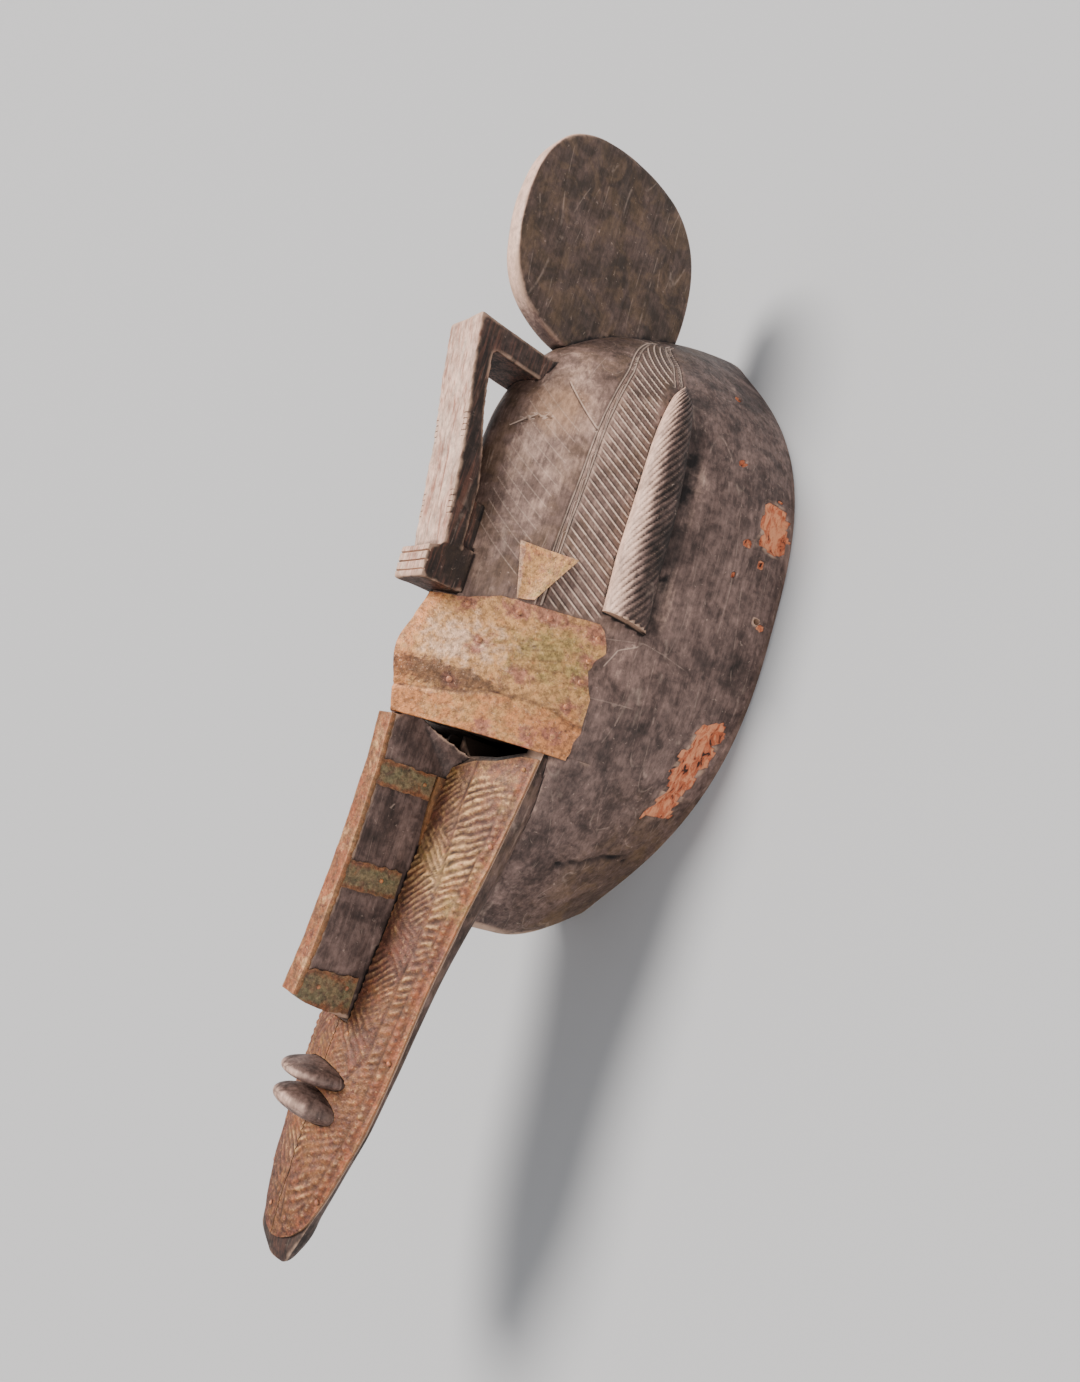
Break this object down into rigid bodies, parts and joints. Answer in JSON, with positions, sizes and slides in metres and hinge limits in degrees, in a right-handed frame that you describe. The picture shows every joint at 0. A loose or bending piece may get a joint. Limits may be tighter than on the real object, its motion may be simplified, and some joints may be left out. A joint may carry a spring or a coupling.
{
  "type": "carved mask",
  "caption": "Carved wooden mask with a deep hollow helmet, long tapering snout, disc finial, crest bar and nailed brass and copper sheet.",
  "frame": {"origin": "centre of the overall box on the plane the helmet's rim rests on", "axes": "+Z the way the face looks, up from the rim; +Y along the mask towards the disc finial; +X the mask's own left"},
  "size_m": [0.18, 0.6018, 0.1815],
  "materials": {
    "dark_wood": "dark stained hardwood, satin with age, worn lighter on edges, raw and orange where chipped",
    "brow_brass": "thin beaten brass sheet, dull, stained pink, ochre and rust",
    "cheek_copper": "thin embossed copper alloy sheet, worn, rusty and ochre",
    "band_brass": "thin brass band, dark olive tarnish"
  },
  "bodies": {
    "root": {"carved_body": "dark_wood", "brow_sheet": "brow_brass", "forehead_plate": "brow_brass", "cheek_sheet_left": "cheek_copper", "cheek_sheet_right": "cheek_copper", "nose_ridge_strip": "cheek_copper", "nose_band_1": "band_brass", "nose_band_2": "band_brass", "nose_band_3": "band_brass"}
  },
  "joints": []
}
